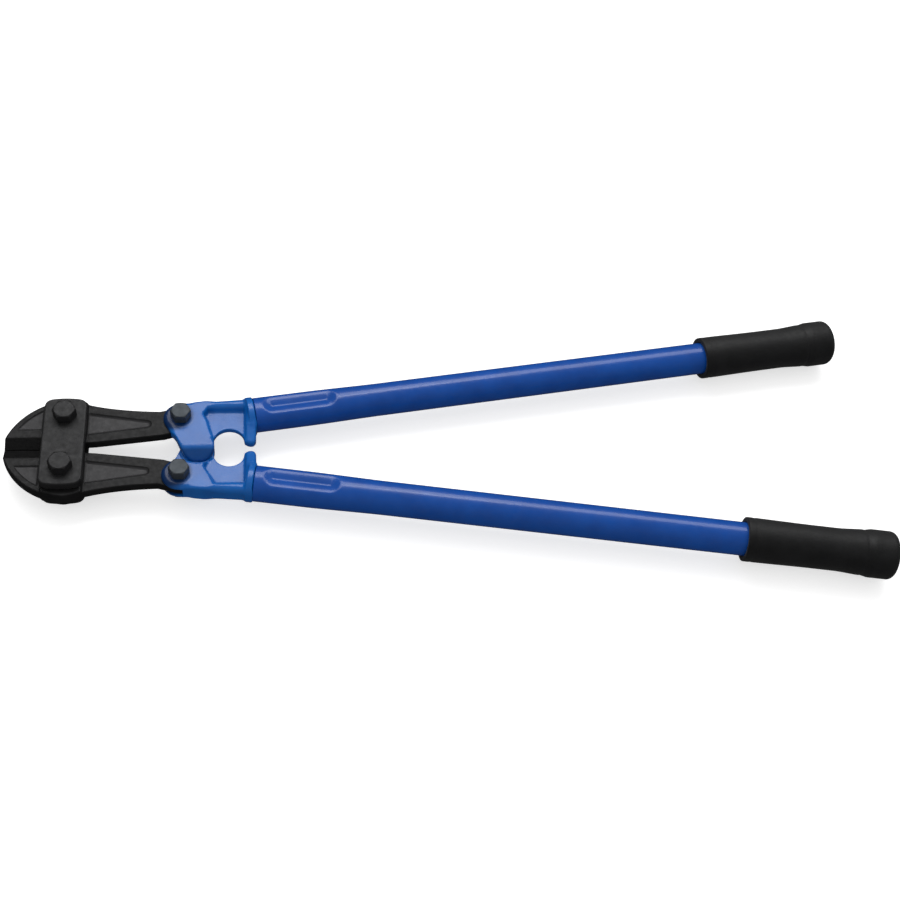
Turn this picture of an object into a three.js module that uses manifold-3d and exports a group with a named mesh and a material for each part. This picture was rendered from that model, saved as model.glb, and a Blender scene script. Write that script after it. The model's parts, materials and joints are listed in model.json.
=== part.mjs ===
// Centre-cut bolt cutters of the 30 inch class, closed, lying on the rear bolt ends.
//
// Everything is drawn in millimetres in the tool's own frame: X runs from the jaw tips (0) to the
// grip ends (OVERALL_LENGTH), Y = 0 is the line on which the cutting edges meet, and Z = 0 is the
// mid-plane of the jaws. +Z is the front, where the bolt heads are. The finished group is moved
// so that its origin is at the middle of the base of its box.
//
// The tool is two identical halves. One half is drawn at +Y, and the other is the same half
// turned by 180 degrees about X. Only the hardware has a front and a rear.

import * as THREE from 'three';
import { mergeVertices } from 'three/addons/utils/BufferGeometryUtils.js';
import Module from 'manifold-3d';

const wasm = await Module();
wasm.setup();

// ---------------------------------------------------------------- driving dimensions

const OVERALL_LENGTH = 760;
const GAP = 0.3; // between pieces that touch or turn against each other
const ROUND_SEGMENTS = 24;
const CURVE_SEGMENTS = 8; // on each curved stretch of an outline

// Pivots of the +Y half.
const PLATE_PIVOT = { x: 49.5, y: 26.5 };
const TAIL_PIVOT = { x: 146, y: 29.5 };
const CENTRE_PIVOT = { x: 161, y: 0 };

// Jaw.
const EDGE_GAP = 0.15; // from the cutting edge to the centre line
const JAW_FRONT_HALF = 5;
const JAW_BOSS_HALF = 6.9;
const JAW_TAIL_HALF = 4.2;
const NOSE = { x: 57.9, y: -9.9, radius: 61.2 }; // the round front outline
const NOSE_RIM = 4.7;
const HEEL_RADIUS = PLATE_PIVOT.y - EDGE_GAP;
const TAIL_LUG_RADIUS = 13.5;
const BEVEL_WIDTH = 10.75;
const BEVEL_END_X = 38;
const EDGE_HALF = 0.5; // half the width of the small flat on the cutting edge
const PANEL_DEPTH = 0.8;
const TAIL_POCKET_DEPTH = 1.1;

// Side plates.
const PLATE_LOW_X = 31.7;
const PLATE_HIGH_X = 67.3;
const PLATE_HALF_LENGTH = 43.2;
const PLATE_END_RISE = 2.4;
const PLATE_CORNER = 7.5;
const PLATE_INNER_Z = JAW_BOSS_HALF + GAP;
const PLATE_OUTER_Z = PLATE_INNER_Z + 8;
const PLATE_CHAMFER = 1.2;

// Handle heads, the castings at the front of the handles.
const CASTING_HALF = 8.9;
const EAR_RADIUS = 15;
const EAR_INNER_Z = JAW_TAIL_HALF + GAP;
const SLOT_RADIUS = TAIL_LUG_RADIUS + 0.5;
const LOBE_RADIUS = 13.8;
const LOBE_LAP_Z = GAP / 2;
const PIVOT_PLAY = 1.7; // room at the centre pivot, where the linkage is open
const WEB_HALF = 2.5;
const WINDOW = { x: 187.3, y: 6, radius: 13.3 };
const WEB_LOW = { x: 160, y: 6 };
const WEB_HIGH = { x: 206, y: 41 };
const FACE_LAP = 2; // the front and the rear face's solids run into each other inside the web
const RIB_INNER_Y = 38.4; // the rib along the casting's outer edge
const RIB_END = { x: 206.4, y: 50 };
const SOCKET_DRAFT = 0.5; // how much wider the lap's socket gets per millimetre away from the lap
const STOP_LOW_X = 201.3;
const STOP_HIGH_X = 210.3;
const STOP_ROOT_Y = 40;
const STOP_TIP_Y = 3.5;
const STOP_ROUND_Y = 9; // from here the stop is rounded towards its tip
const STOP_CENTRE_HALF = 2.2; // half the stop's thickness, if it went on to the centre line
const STOP_TAPER = 0.33;
const LOBE_FACE_LOW_Y = -2.6; // here the lobe's face ends and its slope begins
const LOBE_TIP_Z = 1.2;
const OPEN_ANGLE = 62.5; // between the two castings when the jaws are fully open, degrees

// Handle tubes and grips, which lie along one axis.
const AXIS_START = { x: 208.4, y: 35.9 };
const AXIS_ANGLE = THREE.MathUtils.degToRad(8.75);
const TUBE_RADIUS = 14.6;
const TUBE_WALL = 2;
const TUBE_START = 0.8;
const TUBE_WIDENING = 0.08; // how much wider the crimped front of the tube is, in the tool's plane
const WIDENING_START = 45; // from here the tube narrows again
const WIDENING_END = 115;
const CRIMP_START = 11;
const CRIMP_END = 69;
const CRIMP_HALF_WIDTH = 5;
const CRIMP_DEPTH = 1;
const TANG_LENGTH = 74;
const COLLAR_RADIUS = 15.3;
const COLLAR_LOW = -5.6;
const COLLAR_HIGH = 0.2;
const GRIP_LENGTH = 132.5;
const GRIP_MOUTH_RADIUS = 19.3;
const GRIP_WAIST_RADIUS = 18.7;
const GRIP_END_RADIUS = 21.2;
const GRIP_END_ROUND = 6;
const GRIP_END_WALL = 7;

// Hardware.
const WASHER_THICK = 1.6;
const NUT_HEIGHT = 7;
const PLATE_BOLT = { shank: 5.9, flats: 17.5, headTop: 24.4, washer: 10.5, end: 25 };
const TAIL_BOLT = { shank: 4.9, flats: 15.5, headTop: 17.7, washer: 9, end: 19 };
const RIVET = { shank: 5.5, blindTop: 4.6, head: 9.6, headThick: 3 };

// ---------------------------------------------------------------- solids

// A closed geometry as a solid that can be joined and cut.
function solid(geometry) {
  const bare = geometry.clone();
  bare.deleteAttribute('normal');
  bare.deleteAttribute('uv');
  const merged = mergeVertices(bare, 1e-4);
  const corners = merged.index.array;
  const triVerts = [];
  for (let i = 0; i < corners.length; i += 3) {
    const [a, b, c] = [corners[i], corners[i + 1], corners[i + 2]];
    if (a !== b && b !== c && c !== a) {
      triVerts.push(a, b, c);
    }
  }
  return new wasm.Manifold(new wasm.Mesh({
    numProp: 3,
    vertProperties: new Float32Array(merged.attributes.position.array),
    triVerts: new Uint32Array(triVerts),
  }));
}

// A solid as a geometry again, with flat faces.
function geometryOf(body) {
  const mesh = body.getMesh();
  const geometry = new THREE.BufferGeometry();
  geometry.setAttribute('position', new THREE.BufferAttribute(mesh.vertProperties, 3));
  geometry.setIndex(new THREE.BufferAttribute(mesh.triVerts, 1));
  const flat = geometry.toNonIndexed();
  flat.computeVertexNormals();
  return flat;
}

// An outline in the XY plane raised from low to high along Z, its rims chamfered.
function slab(shape, low, high, chamfer = 0) {
  const geometry = new THREE.ExtrudeGeometry(shape, {
    depth: high - low - 2 * chamfer,
    curveSegments: CURVE_SEGMENTS,
    bevelEnabled: chamfer > 0,
    bevelThickness: chamfer,
    bevelSize: chamfer,
    bevelOffset: -chamfer,
    bevelSegments: 1,
  });
  geometry.translate(0, 0, low + chamfer);
  return solid(geometry);
}

// A box between two corners.
function block(low, high) {
  const size = high.map((value, i) => value - low[i]);
  const geometry = new THREE.BoxGeometry(...size);
  geometry.translate(...low.map((value, i) => value + size[i] / 2));
  return solid(geometry);
}

// A profile of [radius, height] pairs, listed upwards along its outside, turned about Z.
function turnedGeometry(profile) {
  const points = profile.map(([radius, height]) => new THREE.Vector2(radius, height));
  const geometry = new THREE.LatheGeometry(points, ROUND_SEGMENTS);
  geometry.rotateX(Math.PI / 2);
  return geometry;
}

function turned(profile) {
  return solid(turnedGeometry(profile));
}

// A round bar about the vertical line through a point.
function bar(centre, radius, low, high) {
  return turned([[0, low], [radius, low], [radius, high], [0, high]]).translate([centre.x, centre.y, 0]);
}

// An outline of (Y, Z) points raised along X from low to high.
function slabAlongX(outline, low, high) {
  const geometry = new THREE.ExtrudeGeometry(polygon(outline), { depth: high - low, bevelEnabled: false });
  geometry.applyMatrix4(new THREE.Matrix4().makeBasis(
    new THREE.Vector3(0, 1, 0),
    new THREE.Vector3(0, 0, 1),
    new THREE.Vector3(1, 0, 0),
  ));
  geometry.translate(low, 0, 0);
  return solid(geometry);
}

// A hexagonal prism with its corners chamfered at the top, the bottom or both.
function hexagon(flats, low, high, chamferLow, chamferHigh) {
  const corner = flats / Math.sqrt(3);
  const shape = new THREE.Shape();
  for (let i = 0; i < 6; i += 1) {
    const angle = (i * Math.PI) / 3;
    shape[i ? 'lineTo' : 'moveTo'](corner * Math.cos(angle), corner * Math.sin(angle));
  }
  shape.closePath();
  const face = 0.94 * (flats / 2);
  const drop = (corner - face) * Math.tan(Math.PI / 6);
  const envelope = turned([
    [0, low],
    [chamferLow ? face : corner, low],
    [corner, low + (chamferLow ? drop : 0)],
    [corner, high - (chamferHigh ? drop : 0)],
    [chamferHigh ? face : corner, high],
    [0, high],
  ].filter((point, i, all) => i === 0 || point[0] !== all[i - 1][0] || point[1] !== all[i - 1][1]));
  return slab(shape, low, high).intersect(envelope);
}

// ---------------------------------------------------------------- outlines

function polar(centre, radius, degrees) {
  const angle = THREE.MathUtils.degToRad(degrees);
  return { x: centre.x + radius * Math.cos(angle), y: centre.y + radius * Math.sin(angle) };
}

function polygon(points) {
  const shape = new THREE.Shape();
  points.forEach(({ x, y }, i) => shape[i ? 'lineTo' : 'moveTo'](x, y));
  shape.closePath();
  return shape;
}

// Two circles and their common tangents.
function linkOutline(a, radiusA, b, radiusB) {
  const length = Math.hypot(b.x - a.x, b.y - a.y);
  const heading = Math.atan2(b.y - a.y, b.x - a.x);
  const spread = Math.acos((radiusA - radiusB) / length);
  const shape = new THREE.Shape();
  shape.absarc(a.x, a.y, radiusA, heading + spread, heading - spread + 2 * Math.PI, false);
  shape.absarc(b.x, b.y, radiusB, heading - spread, heading + spread, false);
  shape.closePath();
  return shape;
}

// Where the nose circle, or one inside it, has the height y on its front side.
function noseX(radius, y) {
  return NOSE.x - Math.sqrt(radius ** 2 - (y - NOSE.y) ** 2);
}

function noseAngle(x, y) {
  return Math.atan2(y - NOSE.y, x - NOSE.x);
}

// The upper jaw's outline: cutting edge, heel, tail to its lug, shoulder and round nose.
function jawOutline() {
  const lugStart = THREE.MathUtils.degToRad(-100);
  const lugEnd = THREE.MathUtils.degToRad(120);
  const noseTop = { x: 51, y: NOSE.y + Math.sqrt(NOSE.radius ** 2 - (51 - NOSE.x) ** 2) };
  const noseFootY = NOSE.y + Math.sqrt(NOSE.radius ** 2 - NOSE.x ** 2);
  const shape = new THREE.Shape();
  shape.moveTo(0, EDGE_GAP);
  shape.lineTo(PLATE_PIVOT.x, EDGE_GAP);
  shape.absarc(PLATE_PIVOT.x, PLATE_PIVOT.y, HEEL_RADIUS, -Math.PI / 2, THREE.MathUtils.degToRad(-56), false);
  shape.lineTo(75, 5.3);
  shape.lineTo(132, 12.6);
  shape.absarc(TAIL_PIVOT.x, TAIL_PIVOT.y, TAIL_LUG_RADIUS, lugStart, lugEnd, false);
  shape.lineTo(128, 38.2);
  shape.bezierCurveTo(104, 38.6, 82, 41.6, 67, 46);
  shape.quadraticCurveTo(58, 50.6, noseTop.x, noseTop.y);
  shape.absarc(NOSE.x, NOSE.y, NOSE.radius, noseAngle(noseTop.x, noseTop.y), noseAngle(0, noseFootY), false);
  shape.closePath();
  return shape;
}

// The shallow panel in the cheek of the jaw's front.
function cheekPanelOutline() {
  const [lowY, highX] = [18.5, 30.5];
  const radius = NOSE.radius - NOSE_RIM;
  const highY = NOSE.y + Math.sqrt(radius ** 2 - (highX - NOSE.x) ** 2);
  const shape = new THREE.Shape();
  shape.moveTo(noseX(radius, lowY), lowY);
  shape.lineTo(highX, lowY);
  shape.lineTo(highX, highY);
  shape.absarc(NOSE.x, NOSE.y, radius, noseAngle(highX, highY), noseAngle(noseX(radius, lowY), lowY), false);
  shape.closePath();
  return shape;
}

// The tapered pocket in the jaw's tail, with a round narrow end.
function tailPocketOutline() {
  const end = { x: 117, y: 24.6 };
  const radius = 4.1;
  const shape = new THREE.Shape();
  shape.moveTo(73, 13.5);
  shape.absarc(end.x, end.y, radius, THREE.MathUtils.degToRad(-81), THREE.MathUtils.degToRad(80), false);
  shape.lineTo(73, 36);
  shape.closePath();
  return shape;
}

// The side plate: straight flanks, slightly round ends.
function plateOutline() {
  const middle = (PLATE_LOW_X + PLATE_HIGH_X) / 2;
  const crown = PLATE_HALF_LENGTH + PLATE_END_RISE;
  const shoulder = PLATE_HALF_LENGTH - PLATE_CORNER;
  const shape = new THREE.Shape();
  shape.moveTo(PLATE_LOW_X, -shoulder);
  shape.quadraticCurveTo(PLATE_LOW_X, -PLATE_HALF_LENGTH, PLATE_LOW_X + PLATE_CORNER, -PLATE_HALF_LENGTH - 1);
  shape.quadraticCurveTo(middle, -crown, PLATE_HIGH_X - PLATE_CORNER, -PLATE_HALF_LENGTH - 1);
  shape.quadraticCurveTo(PLATE_HIGH_X, -PLATE_HALF_LENGTH, PLATE_HIGH_X, -shoulder);
  shape.lineTo(PLATE_HIGH_X, shoulder);
  shape.quadraticCurveTo(PLATE_HIGH_X, PLATE_HALF_LENGTH, PLATE_HIGH_X - PLATE_CORNER, PLATE_HALF_LENGTH + 1);
  shape.quadraticCurveTo(middle, crown, PLATE_LOW_X + PLATE_CORNER, PLATE_HALF_LENGTH + 1);
  shape.quadraticCurveTo(PLATE_LOW_X, PLATE_HALF_LENGTH, PLATE_LOW_X, shoulder);
  shape.closePath();
  return shape;
}

// ---------------------------------------------------------------- jaw

// Cuts one face of the cutting bevel: everything outside the bevel plane.
function bevelCutter(side) {
  const slope = (JAW_FRONT_HALF - EDGE_HALF) / BEVEL_WIDTH;
  const height = (y) => EDGE_HALF + slope * (y - EDGE_GAP);
  const [low, high, above] = [-2, BEVEL_WIDTH + 6, 12];
  return slabAlongX([
    { x: low, y: side * height(low) },
    { x: high, y: side * height(high) },
    { x: high, y: side * above },
    { x: low, y: side * above },
  ], low, BEVEL_END_X);
}

// What a recess takes away from the front (side 1) or the rear (side -1) of the jaw.
function recess(outline, side, floor) {
  const above = JAW_FRONT_HALF + 1;
  return side > 0 ? slab(outline, floor, above) : slab(outline, -above, -floor);
}

function jaw() {
  const outline = jawOutline();
  const frontZone = block([-5, -5, -20], [70, 60, 20]);
  const bossZone = block([PLATE_LOW_X + 1.5, -5, -20], [PLATE_HIGH_X - 1.2, 60, 20]);
  const tail = slab(outline, -JAW_TAIL_HALF, JAW_TAIL_HALF, 0.6);
  const front = slab(outline, -JAW_FRONT_HALF, JAW_FRONT_HALF, 0.6).intersect(frontZone);
  const boss = slab(outline, -JAW_BOSS_HALF, JAW_BOSS_HALF).intersect(bossZone);
  let body = tail.add(front).add(boss);
  for (const side of [-1, 1]) {
    body = body
      .subtract(bevelCutter(side))
      .subtract(recess(cheekPanelOutline(), side, JAW_FRONT_HALF - PANEL_DEPTH))
      .subtract(recess(tailPocketOutline(), side, JAW_TAIL_HALF - TAIL_POCKET_DEPTH));
  }
  return body
    .subtract(bar(PLATE_PIVOT, PLATE_BOLT.shank + GAP, -20, 20))
    .subtract(bar(TAIL_PIVOT, TAIL_BOLT.shank + GAP, -20, 20));
}

// ---------------------------------------------------------------- side plates

function sidePlate() {
  let body = slab(plateOutline(), PLATE_INNER_Z, PLATE_OUTER_Z, PLATE_CHAMFER);
  for (const side of [-1, 1]) {
    const centre = { x: PLATE_PIVOT.x, y: side * PLATE_PIVOT.y };
    body = body.subtract(bar(centre, PLATE_BOLT.shank + GAP, 0, 20));
  }
  return body;
}

// ---------------------------------------------------------------- handle head

// Turns a solid made along +Z so that it lies along the handle's axis.
function alongHandle(geometry) {
  geometry.rotateY(Math.PI / 2);
  geometry.rotateZ(AXIS_ANGLE);
  geometry.translate(AXIS_START.x, AXIS_START.y, 0);
  return geometry;
}

// The casting's raised face and the rib along its outer edge. On the front the face runs down to
// the lobe; on the rear it ends at a slanting edge above the lap's socket.
function faceOutline(inner) {
  return polygon([
    polar(TAIL_PIVOT, EAR_RADIUS, 82),
    { x: 165, y: 46.6 },
    RIB_END,
    { x: RIB_END.x, y: RIB_INNER_Y },
    ...inner,
    CENTRE_PIVOT,
    TAIL_PIVOT,
  ]);
}

function frontFaceOutline() {
  return faceOutline([
    { x: 168, y: RIB_INNER_Y },
    { x: 163.5, y: 33 },
    { x: 167, y: 24.3 },
    { x: 171, y: 8.4 },
  ]);
}

function rearFaceOutline() {
  return faceOutline([{ x: 175.8, y: RIB_INNER_Y }, { x: 165, y: 20.5 }]);
}

// The stop that faces its twin across the centre line.
function stopOutline() {
  const middle = (STOP_LOW_X + STOP_HIGH_X) / 2;
  const shape = new THREE.Shape();
  shape.moveTo(STOP_LOW_X, STOP_ROOT_Y);
  shape.lineTo(STOP_LOW_X, STOP_ROUND_Y);
  shape.quadraticCurveTo(STOP_LOW_X, STOP_TIP_Y, middle, STOP_TIP_Y);
  shape.quadraticCurveTo(STOP_HIGH_X, STOP_TIP_Y, STOP_HIGH_X, STOP_ROUND_Y);
  shape.lineTo(STOP_HIGH_X, STOP_ROOT_Y);
  shape.closePath();
  return shape;
}

// Thins the stop towards its tip.
function stopCutter(side) {
  const [high, above] = [22, 14];
  return slabAlongX([
    { x: 0, y: side * STOP_CENTRE_HALF },
    { x: high, y: side * (STOP_CENTRE_HALF + STOP_TAPER * high) },
    { x: high, y: side * above },
    { x: 0, y: side * above },
  ], STOP_LOW_X - 3, STOP_HIGH_X + 3);
}

// The space between the ears, in which the jaw's tail lug swings.
function slotOutline() {
  const top = polar(TAIL_PIVOT, SLOT_RADIUS, 52);
  const bottom = polar(TAIL_PIVOT, SLOT_RADIUS, -100);
  const shape = new THREE.Shape();
  shape.absarc(
    TAIL_PIVOT.x, TAIL_PIVOT.y, SLOT_RADIUS,
    THREE.MathUtils.degToRad(-100), THREE.MathUtils.degToRad(52), false,
  );
  shape.lineTo(polar(top, 60, 142).x, polar(top, 60, 142).y);
  shape.lineTo(polar(bottom, 60, 198).x, polar(bottom, 60, 198).y);
  shape.closePath();
  return shape;
}

// Slopes the free side of the lobe down to the lap.
function lobeSlopeCutter() {
  const [beyond, above] = [-LOBE_RADIUS - 4, CASTING_HALF + 3];
  return slabAlongX([
    { x: LOBE_FACE_LOW_Y, y: CASTING_HALF },
    { x: LOBE_FACE_LOW_Y, y: above },
    { x: beyond, y: above },
    { x: beyond, y: -1 },
    { x: -LOBE_RADIUS, y: LOBE_TIP_Z },
  ], CENTRE_PIVOT.x - 20, CENTRE_PIVOT.x + 20);
}

// Widens what lies along the handle near its front, in the tool's plane.
function widen(geometry) {
  const position = geometry.attributes.position;
  for (let i = 0; i < position.count; i += 1) {
    const along = THREE.MathUtils.smoothstep(position.getZ(i), WIDENING_START, WIDENING_END);
    position.setY(i, position.getY(i) * (1 + TUBE_WIDENING * (1 - along)));
  }
  return geometry;
}

function handleHead(pivotHole) {
  const ends = [-CASTING_HALF - 5, CASTING_HALF + 5];
  const link = linkOutline(TAIL_PIVOT, EAR_RADIUS, CENTRE_PIVOT, LOBE_RADIUS);
  const ears = bar(TAIL_PIVOT, EAR_RADIUS, -CASTING_HALF, CASTING_HALF);
  const tangRadius = TUBE_RADIUS - TUBE_WALL - GAP;
  const collar = turnedGeometry([
    [0, COLLAR_LOW], [COLLAR_RADIUS - 1.2, COLLAR_LOW], [COLLAR_RADIUS, COLLAR_LOW + 1.2],
    [COLLAR_RADIUS, COLLAR_HIGH - 0.6], [COLLAR_RADIUS - 0.6, COLLAR_HIGH], [0, COLLAR_HIGH],
  ]);
  const tang = turnedGeometry([
    [0, COLLAR_LOW], [tangRadius, COLLAR_LOW], [tangRadius, WIDENING_START], [tangRadius, TANG_LENGTH - 2],
    [tangRadius - 2, TANG_LENGTH], [0, TANG_LENGTH],
  ]);

  const stop = slab(stopOutline(), -CASTING_HALF, CASTING_HALF)
    .subtract(stopCutter(-1))
    .subtract(stopCutter(1));
  const web = block([WEB_LOW.x, WEB_LOW.y, -WEB_HALF], [WEB_HIGH.x, WEB_HIGH.y, WEB_HALF])
    .subtract(bar(WINDOW, WINDOW.radius, ...ends));

  // On the far half of the lap the casting leaves room for its twin's lobe and neck.
  const socketRadius = LOBE_RADIUS + PIVOT_PLAY;
  const socket = turned([
    [0, ends[0]], [socketRadius + SOCKET_DRAFT * (LOBE_LAP_Z - ends[0]), ends[0]],
    [socketRadius, LOBE_LAP_Z], [0, LOBE_LAP_Z],
  ]).translate([CENTRE_PIVOT.x, CENTRE_PIVOT.y, 0]);
  const swing = slab(
    polygon([CENTRE_PIVOT, TAIL_PIVOT, polar(TAIL_PIVOT, 60, 200), polar(CENTRE_PIVOT, 60, 200)]),
    ends[0],
    LOBE_LAP_Z,
  );
  // When the tool is open the twin's ears stand here.
  const reach = Math.hypot(TAIL_PIVOT.x - CENTRE_PIVOT.x, TAIL_PIVOT.y - CENTRE_PIVOT.y);
  const restHeading = THREE.MathUtils.radToDeg(
    Math.atan2(TAIL_PIVOT.y - CENTRE_PIVOT.y, TAIL_PIVOT.x - CENTRE_PIVOT.x),
  );
  const twinEar = polar(CENTRE_PIVOT, reach, -restHeading - OPEN_ANGLE);
  const scallop = bar(twinEar, EAR_RADIUS + 1.2, ...ends);

  return slab(link, -CASTING_HALF, CASTING_HALF)
    .add(slab(frontFaceOutline(), -FACE_LAP, CASTING_HALF))
    .add(slab(rearFaceOutline(), -CASTING_HALF, FACE_LAP))
    .add(web)
    .subtract(socket)
    .subtract(swing)
    .subtract(scallop)
    .subtract(lobeSlopeCutter())
    .add(ears)
    .add(stop)
    .add(solid(alongHandle(widen(collar))))
    .add(solid(alongHandle(widen(tang))))
    .subtract(slab(slotOutline(), -EAR_INNER_Z, EAR_INNER_Z))
    .subtract(bar(TAIL_PIVOT, TAIL_BOLT.shank + GAP, ...ends))
    .subtract(pivotHole);
}

// ---------------------------------------------------------------- handle tube and grip

function handleTube() {
  const end = gripEnd() - GRIP_END_WALL - GAP;
  const inner = TUBE_RADIUS - TUBE_WALL;
  const rings = (radius) => [TUBE_START, WIDENING_START, 68, 92, WIDENING_END, end].map((s) => [radius, s]);
  const body = solid(widen(turnedGeometry([
    ...rings(TUBE_RADIUS),
    ...rings(inner).reverse(),
    [TUBE_RADIUS, TUBE_START],
  ])));
  let crimped = body;
  for (const side of [-1, 1]) {
    const floor = side * (TUBE_RADIUS - CRIMP_DEPTH);
    const shape = linkOutline(
      { x: CRIMP_START + CRIMP_HALF_WIDTH, y: 0 }, CRIMP_HALF_WIDTH,
      { x: CRIMP_END - CRIMP_HALF_WIDTH, y: 0 }, CRIMP_HALF_WIDTH,
    );
    const low = Math.min(floor, side * (TUBE_RADIUS + 2));
    const high = Math.max(floor, side * (TUBE_RADIUS + 2));
    // The tube still stands along Z here, so the dent is laid over its side.
    const dent = slab(shape, low, high).rotate([0, -90, 0]);
    crimped = crimped.subtract(dent);
  }
  return solid(alongHandle(geometryOf(crimped)));
}

// How far along the handle's axis the grip ends, so that its rim is at OVERALL_LENGTH.
function gripEnd() {
  const rim = (GRIP_END_RADIUS - GRIP_END_ROUND) * Math.sin(AXIS_ANGLE) + GRIP_END_ROUND;
  return (OVERALL_LENGTH - AXIS_START.x - rim) / Math.cos(AXIS_ANGLE) + GRIP_END_ROUND;
}

function grip() {
  const end = gripEnd();
  const mouth = end - GRIP_LENGTH;
  const bore = TUBE_RADIUS + GAP;
  const roundSteps = 5;
  const profile = [
    [bore, mouth],
    [GRIP_MOUTH_RADIUS - 1.2, mouth],
    [GRIP_MOUTH_RADIUS, mouth + 1.6],
    [GRIP_WAIST_RADIUS, mouth + 45],
    [GRIP_WAIST_RADIUS, end - 48],
    [GRIP_WAIST_RADIUS + 0.9, end - 32],
    [GRIP_END_RADIUS, end - 18],
  ];
  for (let i = 0; i <= roundSteps; i += 1) {
    const angle = (i / roundSteps) * (Math.PI / 2);
    profile.push([
      GRIP_END_RADIUS - GRIP_END_ROUND * (1 - Math.cos(angle)),
      end - GRIP_END_ROUND * (1 - Math.sin(angle)),
    ]);
  }
  profile.push([0, end]);
  profile.push([0, end - GRIP_END_WALL]);
  profile.push([bore, end - GRIP_END_WALL]);
  profile.push([bore, mouth]);
  return solid(alongHandle(turnedGeometry(profile)));
}

// ---------------------------------------------------------------- hardware

function boltSolid(spec, seatZ) {
  return hexagon(spec.flats, seatZ + GAP, spec.headTop, false, true)
    .add(turned([
      [0, -spec.end], [spec.shank - 1, -spec.end], [spec.shank, -spec.end + 1],
      [spec.shank, seatZ + 2], [0, seatZ + 2],
    ]));
}

function washerSolid(spec, seatZ) {
  const high = -seatZ - GAP;
  const low = high - WASHER_THICK;
  const hole = spec.shank + GAP;
  return turned([[hole, low], [spec.washer, low], [spec.washer, high], [hole, high], [hole, low]]);
}

function nutSolid(spec, seatZ) {
  const high = -seatZ - WASHER_THICK - 2 * GAP;
  return hexagon(spec.flats, high - NUT_HEIGHT, high, true, true)
    .subtract(bar({ x: 0, y: 0 }, spec.shank + GAP, high - NUT_HEIGHT - 1, high + 1));
}

// The pin driven into the upper casting's lobe from the rear, with its wide head outside.
function rivetSolid() {
  const seat = -CASTING_HALF - GAP;
  return turned([
    [0, seat - RIVET.headThick],
    [RIVET.head - 2.5, seat - RIVET.headThick],
    [RIVET.head, seat - 1],
    [RIVET.head, seat],
    [RIVET.shank, seat],
    [RIVET.shank, RIVET.blindTop],
    [0, RIVET.blindTop],
  ]);
}

// ---------------------------------------------------------------- materials

function finish(color, roughness, metalness) {
  return new THREE.MeshStandardMaterial({ color, roughness, metalness });
}

const MATERIALS = {
  forged: finish(0x3a393b, 0.5, 0.6),
  plate: finish(0x444346, 0.5, 0.6),
  bolt: finish(0x4c4d50, 0.42, 0.75),
  casting: finish(0x1450a8, 0.3, 0.1),
  tube: finish(0x0a4296, 0.25, 0.1),
  rubber: finish(0x1b1c1e, 0.75, 0),
};

// ---------------------------------------------------------------- assembly

const boltCutters = new THREE.Group();
boltCutters.position.set(-OVERALL_LENGTH / 2, 0, PLATE_BOLT.end);

function piece(parent, name, body, material) {
  const mesh = new THREE.Mesh(geometryOf(body), material);
  mesh.name = name;
  parent.add(mesh);
  return mesh;
}

// The lower half is the upper half turned about the tool's long axis.
const upperHalf = new THREE.Group();
const lowerHalf = new THREE.Group();
lowerHalf.rotation.x = Math.PI;
boltCutters.add(upperHalf, lowerHalf);

const pinHole = bar(CENTRE_PIVOT, RIVET.shank + GAP, LOBE_LAP_Z - 1, RIVET.blindTop + GAP);
const looseHole = bar(CENTRE_PIVOT, RIVET.shank + PIVOT_PLAY, -CASTING_HALF - 1, CASTING_HALF + 1);

for (const [side, half, hole] of [['upper', upperHalf, pinHole], ['lower', lowerHalf, looseHole]]) {
  piece(half, `${side}_jaw`, jaw(), MATERIALS.forged);
  piece(half, `${side}_handle_head`, handleHead(hole), MATERIALS.casting);
  piece(half, `${side}_handle_tube`, handleTube(), MATERIALS.tube);
  piece(half, `${side}_grip`, grip(), MATERIALS.rubber);
}

piece(boltCutters, 'front_plate', sidePlate(), MATERIALS.plate);
piece(boltCutters, 'rear_plate', sidePlate(), MATERIALS.plate).rotation.x = Math.PI;
piece(boltCutters, 'centre_pin', rivetSolid(), MATERIALS.casting).position.x = CENTRE_PIVOT.x;

for (const [side, sign] of [['upper', 1], ['lower', -1]]) {
  const joints = [
    ['plate', PLATE_PIVOT, PLATE_BOLT, PLATE_OUTER_Z],
    ['tail', TAIL_PIVOT, TAIL_BOLT, CASTING_HALF],
  ];
  for (const [place, pivot, spec, seatZ] of joints) {
    const set = new THREE.Group();
    set.position.set(pivot.x, sign * pivot.y, 0);
    boltCutters.add(set);
    piece(set, `${side}_${place}_bolt`, boltSolid(spec, seatZ), MATERIALS.bolt);
    piece(set, `${side}_${place}_washer`, washerSolid(spec, seatZ), MATERIALS.bolt);
    piece(set, `${side}_${place}_nut`, nutSolid(spec, seatZ), MATERIALS.bolt);
  }
}

export default boltCutters;
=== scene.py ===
"""Bolt cutters of the 30 inch class: the looks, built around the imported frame.

Shapes are worked out in millimetres in the tool's own frame: X from the jaw tips towards the
grips, Y = 0 on the line where the cutting edges meet, Z = 0 on the mid-plane of the jaws, +Z the
side of the bolt heads. Forged and cast pieces are signed distance fields turned into meshes, and
tubes and grips are lofted along the handle's axis. The lower half is the upper half turned by
180 degrees about X.
"""

import json
import math

import bpy
import numpy as np
from mathutils import Matrix, Vector


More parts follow.
